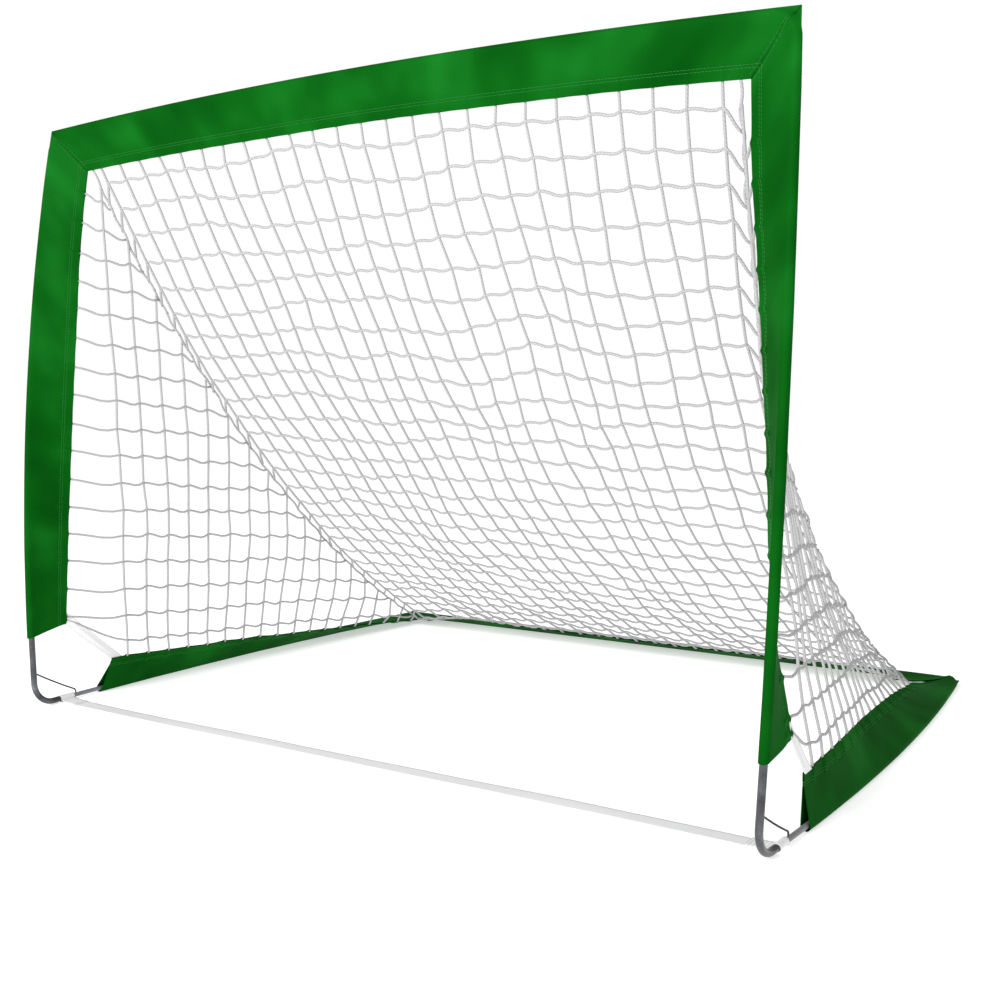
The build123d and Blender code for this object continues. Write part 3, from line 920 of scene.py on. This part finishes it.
@dataclass
class SideNet(Net):
    """The three-cornered net between an upright, a ground rod and the seam of the back net."""

    name: str = ""
    sign: int = 1
    first: float = GROUND_SLEEVE_Y + 33 * MM
    sleeves: dict[str, Sleeve] = field(default_factory=dict)

    def __post_init__(self) -> None:
        """Lays out the strands that stand on the ground sleeve's hem."""
        self.name = f"{SIDES[self.sign]}_side_net_twine"
        self.ground, self.upright = ground_line(self.sign), upright_line(self.sign)
        self.feet, self.tops = [], []
        last = DEPTH - 80 * MM
        count = round((last - self.first) / CELL)
        for i in range(count + 1):
            along = self.first + (last - self.first) * i / count
            foot = hem(self.ground, ground_flap(self.sign), self.ground.share(along), REACH)
            ahead = 78 * MM * (1 - i / count) + 4 * MM
            t = solve(lambda t: seam_point(self.sign, t).y - (foot.y - ahead), 0.02, 0.985)
            self.feet.append((along, foot))
            self.tops.append(seam_point(self.sign, t))

    def knots(self, i: int) -> Path:
        """The knots on a strand, from its foot up, and its end on the seam."""
        foot, top = self.feet[i][1], self.tops[i]
        count = max(0.6, (top - foot).length / CELL)
        path = []
        for j in range(int(count)):
            share = (j + 0.55) / count
            inner = swag(share) ** 0.5
            slip = 6 * MM * wander(self.sign * 3 + 11, i * 0.45, j * 0.5) + 3 * MM * wander(12.0, i * 1.7, j * 1.9)
            bag = 9 * MM * swag(share) + 7 * MM * wander(self.sign * 5 + 14, i * 0.4, j * 0.45)
            shift = Vector((-self.sign * bag, 4 * MM * wander(15.0, i * 0.9, j * 0.8), slip)) * inner
            path.append(foot.lerp(top, share) + shift)
        return path

    def upright_share(self, row: Path) -> float:
        """The share of the upright where a row of the net meets its hem, a little above the row's first knot."""
        z, flap = max(0.135, min(0.832, row[0].z + 9 * MM)), upright_flap(self.sign)
        return solve(lambda t: hem(self.upright, flap, t, REACH).z - z, 0.08, 0.97)

    def row(self, columns: Sequence[Path], j: int) -> Path:
        """The knots of a row, from the upright back."""
        return [column[j] for column in columns if len(column) > j]

    def build(self) -> bpy.types.Object:
        """Makes the net, with its strands running into the ground hem and the upright's hem."""
        columns = [self.knots(i) for i in range(len(self.feet))]
        lines, side = [], SIDES[self.sign]
        ground, upright = self.sleeves[side + "_ground_sleeve"], self.sleeves[side + "_upright_sleeve"]
        depths = [47 * MM, 53 * MM, 59 * MM, REACH]
        for i, ((along, _), column, top) in enumerate(zip(self.feet, columns, self.tops)):
            rooted = [ground.between(self.ground.share(along), r) for r in depths]
            lines.append(rooted[:-1] + self.strand([rooted[-1], *column, top], 0.0, 0.5 * MM, 60 + i))
        for j in range(max(len(c) for c in columns)):
            row, rear_z = self.row(columns, j), self.row(columns, j)[-1].z - 12 * MM
            rooted = [upright.between(self.upright_share(row), r) for r in depths]
            t = solve(lambda t: seam_point(self.sign, t).z - rear_z, 0.01, 0.99)
            path = self.strand([rooted[-1], *row, seam_point(self.sign, t)], 3.6 * MM, 1.6 * MM, 80 + j)
            lines.append(rooted[:-1] + path)
        return self.weave(lines, [p for c in columns for p in c], f"{SIDES[self.sign]}_side_net")

    def upright_strands(self) -> list[float]:
        """Where the strands lie along the upright's hem."""
        columns = [self.knots(i) for i in range(len(self.feet))]
        rows = range(max(len(column) for column in columns))
        return [self.upright_share(self.row(columns, j)) * self.upright.length for j in rows]


@dataclass
class Lacing(Net):
    """The border cords: one down each seam, which both nets are laced to, and one along the rear hem."""

    name: str = "net_border_cords"
    twine: float = 1.9 * MM

    def build(self) -> bpy.types.Object:
        """Makes the border cords as one piece."""
        paths, knots = [], []
        for sign in SIDES:
            path = []
            for k in range(200):
                t = 0.003 + 0.992 * k / 199
                kink = 1.6 * MM * math.sin(t * math.pi * 54)
                roam = Vector((wander(sign, k * 0.09) + kink / (3 * MM), wander(sign + 4, k * 0.1), wander(9, k * 0.1)))
                path.append(seam_point(sign, t) + roam * 3 * MM)
            edge_top = CROSSBAR.share(REACH)
            start = hem(CROSSBAR, crossbar_flap, edge_top if sign < 0 else 1 - edge_top, REACH - 1.5 * MM)
            paths.append([start, *path])
            knots += path[4::7]
        edge = REAR.share(REACH + 6 * MM)
        path = []
        for k in range(240):
            t = edge + (1 - 2 * edge) * k / 239
            reach = REACH + 3 * MM + 2.6 * MM * math.sin(k * 0.9) + 2 * MM * wander(31.0, k * 0.15)
            path.append(hem(REAR, rear_flap, t, reach) + Vector((0, 0, 2.2 * MM)))
        paths.append(path)
        return self.weave(paths, knots, None)


# ---------------------------------------------------------------- webbing and cords


@dataclass
class CornerBand:
    """The short webbing strip from an upright's hem to the front of the ground sleeve's hem."""

    sign: int
    thickness: float = 1.2 * MM

    def build(self) -> bpy.types.Object:
        """Makes the band, sewn over both hems."""
        ground, upright = ground_line(self.sign), upright_line(self.sign)
        low = UPRIGHT_SLEEVE_Z + UPRIGHT_HEM_RISE - ROD_Z
        name = f"{SIDES[self.sign]}_corner_band"
        steps, width = 26, 8

        def shape(column: int, row: int) -> tuple[Vector, float]:
            w, s = BAND_WIDTH * row / width, column / steps
            top = hem(upright, upright_flap(self.sign), upright.share(low + w), REACH - 6 * MM)
            foot = hem(ground, ground_flap(self.sign), ground.share(GROUND_SLEEVE_Y + w), REACH - 3 * MM)
            point = top.lerp(foot, s)
            point += Vector((-self.sign * 0.8, 0, -0.6)) * MM * swag(s)
            point += Vector((self.sign * 0.7, 0, 0)) * MM * math.sin(3 * math.pi * w / BAND_WIDTH) * swag(s)
            return point + Vector((self.sign * 1.6 * MM, 0, 0)), w

        length = 0.115
        piece = cloth_grid(name + "_webbing", steps, width, (length, BAND_WIDTH), shape)
        harden(piece, self.thickness)
        WEBBING.dress(piece)
        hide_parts(name)
        fold_weights(piece)
        log.info("%s: %d faces", piece.name, len(piece.data.polygons))
        return piece


@dataclass
class GroundStrap:
    """The webbing across the goal line, with a sewn loop round the ground rod at each end."""

    thickness: float = 1.1 * MM
    loop_r: float = 4.55 * MM
    tail: float = 34 * MM

    def profile(self) -> list[tuple[float, float]]:
        """The strap's section along its length, in (x, z), from one sewn tail to the other."""
        half = self.thickness / 2
        rod = ground_line(1).at(ground_line(1).share(GROUND_LEG + JOINT_GAP + STRAP_WIDTH / 2))
        points = [(rod.x - self.loop_r - self.tail, 3 * half + 0.1 * MM), (rod.x - self.loop_r - 8 * MM, 3.4 * half)]
        for k in range(15):
            angle = math.radians(200 - 290 * k / 14)
            points.append((rod.x + self.loop_r * math.cos(angle), rod.z + self.loop_r * math.sin(angle)))
        points.append((rod.x - 9 * MM, half + 0.2 * MM))
        inner = [(x, half + 0.1 * MM) for x in np.linspace(rod.x - 20 * MM, 0, 60)]
        right = points + inner
        return right + [(-x, z) for x, z in reversed(right[:-1])]

    def build(self) -> bpy.types.Object:
        """Makes the strap."""
        points, width = self.profile(), 8
        walked = [0.0]
        for a, b in zip(points, points[1:]):
            walked.append(walked[-1] + math.dist(a, b))
        first = GROUND_LEG + JOINT_GAP - MIDDLE_Y

        def shape(column: int, row: int) -> tuple[Vector, float]:
            x, z = points[column]
            share = swag(abs(x) / CORNER_X) if abs(x) < CORNER_X - 12 * MM else 0.0
            ripple = max(0.0, wander(51.0, x * 6, row * 0.1)) * 1.6 * MM * share
            bend = 3.5 * MM * math.sin(x * 3.1) * swag(min(1.0, abs(x) / CORNER_X))
            return Vector((x, first + STRAP_WIDTH * row / width + bend, z + ripple)), STRAP_WIDTH * row / width

        piece = cloth_grid("ground_strap_webbing", len(points) - 1, width, (walked[-1], STRAP_WIDTH), shape)
        harden(piece, self.thickness)
        WEBBING.dress(piece)
        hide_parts("ground_strap")
        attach(piece, Body.BASE.value)
        log.info("%s: %d faces", piece.name, len(piece.data.polygons))
        return piece


@dataclass
class ElbowCord:
    """The elastic cord that leads out of a front elbow to the ground rod, knotted inside the tube."""

    sign: int
    radius: float = 1.25 * MM

    def build(self) -> bpy.types.Object:
        """Makes the cord as it is stretched between its two ends."""
        ground, upright = ground_line(self.sign), upright_line(self.sign)
        knot = upright.at(upright.share(59 * MM - ROD_Z))
        landing = ground.at(ground.share(GROUND_LEG + STRAP_WIDTH + 8 * MM))
        turn = landing + Vector((0, -2, 10)) * MM
        end = landing + Vector((0, 0, 4.2)) * MM
        name = f"{SIDES[self.sign]}_elbow_cord"
        path = [knot.lerp(turn, k / 24) + Vector((0, 0, -1.2 * MM * swag(k / 24))) for k in range(24)]
        path += [turn.lerp(end, k / 6) + Vector((0, 0.8 * MM * swag(k / 6), 0)) for k in range(7)]
        piece = round_line(name + "_braid", [path], self.radius, 3)
        add_knots(piece, [knot], 2.4 * MM)
        ELASTIC.dress(piece)
        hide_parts(name)
        fold_weights(piece, fixed=60.0)
        return piece


# ---------------------------------------------------------------- frame parts


class TubeParts:
    """The tubes, rods, ferrules and inner cords, which keep their CAD shapes."""

    finishes = (("cord", ELASTIC), ("elbow", TUBE_STEEL), ("ferrule", TUBE_STEEL), ("rod", FIBREGLASS))

    def dress(self) -> None:
        """Gives each tube, rod and cord its material."""
        for name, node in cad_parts.items():
            for word, finish in self.finishes:
                if name.endswith(word) and "elbow_cord" not in name:
                    for slot in range(max(1, len(node.material_slots))):
                        if slot < len(node.material_slots):
                            node.material_slots[slot].material = finish.material()
                        else:
                            node.data.materials.append(finish.material())
                    break


def mitre(corner: Vector, side_hem: Vector, bar_hem: Vector, square: Vector) -> tuple[Vector, Vector]:
    """A seam plane through a corner and midway between two hems.

    Args:
        corner: where the two rods' lines meet.
        side_hem: a point on the side sleeve's hem.
        bar_hem: the matching point on the other sleeve's hem.
        square: a direction out of the plane of the two rods.

    Returns:
        The corner and the plane's normal, which points inwards across the goal.
    """
    direction = ((side_hem + bar_hem) * 0.5 - corner).normalized()
    normal = direction.cross(square).normalized()
    return corner, -normal if normal.x * corner.x > 0 else normal


@dataclass
class Hoop:
    """The front hoop: two uprights and the crossbar, with a mitred seam in each top corner."""

    nets: dict[int, SideNet]
    back: BackNet

    def seam(self, sign: int) -> tuple[Vector, Vector]:
        """A point and the normal of the seam in a top corner, the normal pointing along the crossbar inwards."""
        corner, upright = top_corner(sign), upright_line(sign)
        side_hem = hem(upright, upright_flap(sign), 1 - upright.share(FLAP))
        bar_t = CROSSBAR.share(FLAP)
        bar_hem = hem(CROSSBAR, crossbar_flap, bar_t if sign < 0 else 1 - bar_t)
        return mitre(corner, side_hem, bar_hem, upright.tangent(1).cross(CROSSBAR.tangent(0)))

    def build(self) -> None:
        """Makes the three sleeves."""
        for sign, side in SIDES.items():
            upright = upright_line(sign)
            low = upright.at(upright.share(UPRIGHT_SLEEVE_Z - ROD_Z))
            slope = math.atan2(UPRIGHT_HEM_RISE, FLAP)
            foot = SleeveEnd(low, Vector((0, -math.sin(slope), math.cos(slope))))
            corner, normal = self.seam(sign)
            sleeve = Sleeve(
                f"{side}_upright_sleeve", Body.HOOP, upright, upright_flap(sign),
                (foot, SleeveEnd(corner, normal, True)), self.nets[sign].upright_strands(), 2.0 + sign,
            )
            sleeve.build()
            self.nets[sign].sleeves[sleeve.node] = sleeve
        ends = tuple(SleeveEnd(*self.seam(sign), True) for sign in SIDES)
        bar = Sleeve("crossbar_sleeve", Body.HOOP, CROSSBAR, crossbar_flap, ends, self.back.strands(CROSSBAR), 5.0)
        bar.build()
        self.back.sleeves[bar.node] = bar


@dataclass
class GroundFrame:
    """The base: two side sleeves and the rear sleeve."""

    nets: dict[int, SideNet]
    back: BackNet

    def seam(self, sign: int) -> tuple[Vector, Vector]:
        """A point and the normal of the seam in a rear corner."""
        corner, ground = rear_corner(sign), ground_line(sign)
        side_hem = hem(ground, ground_flap(sign), 1 - ground.share(FLAP))
        rear_t = REAR.share(FLAP)
        rear_hem = hem(REAR, rear_flap, rear_t if sign < 0 else 1 - rear_t)
        return mitre(corner, side_hem, rear_hem, Vector((0, 0, 1)))

    def build(self) -> None:
        """Makes the three sleeves."""
        for sign, side in SIDES.items():
            ground = ground_line(sign)
            start = ground.share(GROUND_SLEEVE_Y)
            mouth = SleeveEnd(ground.at(start), ground.tangent(start))
            strands = [along for along, _ in self.nets[sign].feet]
            sleeve = Sleeve(
                f"{side}_ground_sleeve", Body.BASE, ground, ground_flap(sign),
                (mouth, SleeveEnd(*self.seam(sign), True)), strands, 8.0 + sign,
            )
            sleeve.build()
            self.nets[sign].sleeves[sleeve.node] = sleeve
        ends = tuple(SleeveEnd(*self.seam(sign), True) for sign in SIDES)
        rear = Sleeve("rear_sleeve", Body.BASE, REAR, rear_flap, ends, self.back.strands(REAR), 12.0)
        rear.build()
        self.back.sleeves[rear.node] = rear


# ---------------------------------------------------------------- studio


@dataclass(frozen=True)
class Lamp:
    """A square soft light that looks at the goal."""

    name: str
    place: tuple[float, float, float]
    size: float
    power: float

    def build(self) -> None:
        """Makes the lamp."""
        data = bpy.data.lights.new(self.name, "AREA")
        data.size, data.energy = self.size, self.power
        lamp = bpy.data.objects.new(self.name, data)
        lamp.location = self.place
        lamp.rotation_euler = (Vector((0, 0, 0.4)) - lamp.location).to_track_quat("-Z", "Y").to_euler()
        bpy.context.scene.collection.objects.link(lamp)


@dataclass
class Studio:
    """The pale floor, the soft light and the camera."""

    eye: tuple[float, float, float] = (1.0564, -1.7453, 0.5042)
    yaw: float = 32.44  # degrees to the left of +Y
    pitch: float = -4.59
    roll: float = 0.32
    lens: float = 44.32
    shift: tuple[float, float] = (-0.0056, -0.0054)
    sky: float = 0.6
    glow: float = 0.5  # the floor is lit from below as well, like a light table

    def camera(self) -> None:
        """Makes the camera."""
        yaw, pitch, roll = (math.radians(a) for a in (self.yaw, self.pitch, self.roll))
        ahead = Vector((-math.sin(yaw) * math.cos(pitch), math.cos(yaw) * math.cos(pitch), math.sin(pitch)))
        level = Vector((math.cos(yaw), math.sin(yaw), 0))
        right = level * math.cos(roll) + level.cross(ahead) * math.sin(roll)
        above = right.cross(ahead)
        data = bpy.data.cameras.new("camera")
        data.sensor_width, data.lens = 36, self.lens
        data.shift_x, data.shift_y = self.shift
        data.clip_start, data.clip_end = 0.05, 60
        camera = bpy.data.objects.new("camera", data)
        turn = Matrix((right, above, -ahead)).transposed().to_4x4()
        camera.matrix_world = Matrix.Translation(self.eye) @ turn
        bpy.context.scene.collection.objects.link(camera)
        bpy.context.scene.camera = camera

    def floor(self) -> None:
        """Makes the floor, a matt white paper sweep."""
        bm = bmesh.new()
        bmesh.ops.create_grid(bm, x_segments=1, y_segments=1, size=30)
        mesh = bpy.data.meshes.new("floor")
        bm.to_mesh(mesh)
        bm.free()
        floor = new_piece("floor", mesh)
        paper = bpy.data.materials.new("matt_white_paper")
        paper.use_nodes = True
        shader = paper.node_tree.nodes["Principled BSDF"]
        shader.inputs["Base Color"].default_value = linear("#EFEFEF")
        shader.inputs["Roughness"].default_value = 0.95
        shader.inputs["Specular IOR Level"].default_value = 0.0
        shader.inputs["Emission Color"].default_value = linear("#FFFFFF")
        shader.inputs["Emission Strength"].default_value = self.glow
        mesh.materials.append(paper)

    def build(self) -> None:
        """Makes all of it."""
        self.camera()
        self.floor()
        world = bpy.data.worlds.new("studio")
        bpy.context.scene.world = world
        world.use_nodes = True
        tree = world.node_tree
        seen = add(tree, "ShaderNodeLightPath").outputs["Is Camera Ray"]
        light = add(tree, "ShaderNodeMapRange", {"To Min": self.sky, "To Max": 1.0}, in_0=seen)
        sky = tree.nodes["Background"]
        sky.inputs[0].default_value = (1, 1, 1, 1)
        tree.links.new(light.outputs[0], sky.inputs[1])
        bpy.context.scene.view_settings.view_transform = "Standard"
        for lamp in (
            Lamp("key", (-0.4, -4.0, 1.9), 1.5, 120),
            Lamp("fill", (2.8, -2.6, 1.6), 2.0, 14),
        ):
            lamp.build()


def main() -> None:
    """Builds the goal."""
    Studio().build()
    back = BackNet()
    sides = {sign: SideNet(sign=sign) for sign in SIDES}
    GroundFrame(sides, back).build()
    Hoop(sides, back).build()
    back.build()
    for net in sides.values():
        net.build()
    Lacing().build()
    for sign in SIDES:
        CornerBand(sign).build()
        ElbowCord(sign).build()
    GroundStrap().build()
    TubeParts().dress()


if __name__ == "__main__":
    main()
